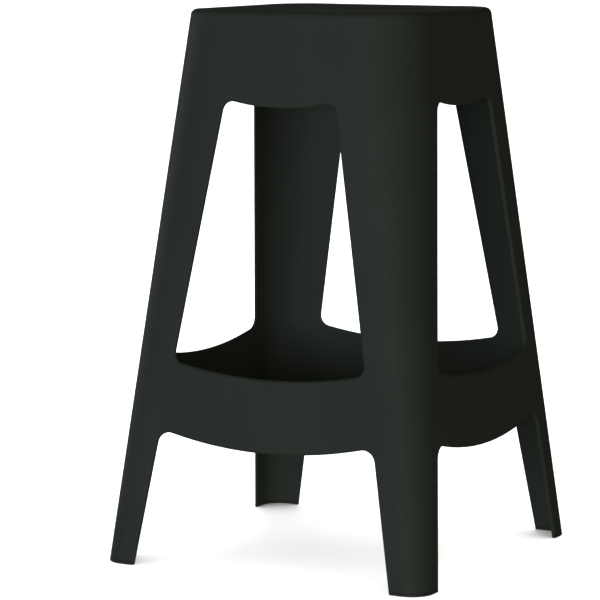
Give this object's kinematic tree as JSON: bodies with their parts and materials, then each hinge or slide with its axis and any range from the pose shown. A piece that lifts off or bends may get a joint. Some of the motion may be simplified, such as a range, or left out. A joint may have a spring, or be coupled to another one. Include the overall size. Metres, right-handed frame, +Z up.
{
  "type": "stacking bar stool",
  "caption": "Backless square stacking bar stool, moulded in one piece with a flat seat, splayed L-section legs and a footrest band all round.",
  "frame": {"origin": "on the floor, under the middle of the seat", "axes": "+Z up, +X to the stool's right, +Y to its back; the four faces are alike"},
  "size_m": [0.4854, 0.4854, 0.75],
  "materials": {
    "black_polypropylene": "satin, fine moulded grain",
    "pad_rubber": "matte"
  },
  "bodies": {
    "root": {"stool_shell": "black_polypropylene", "foot_pad_front_left": "pad_rubber", "foot_pad_front_right": "pad_rubber", "foot_pad_back_left": "pad_rubber", "foot_pad_back_right": "pad_rubber"}
  },
  "joints": []
}
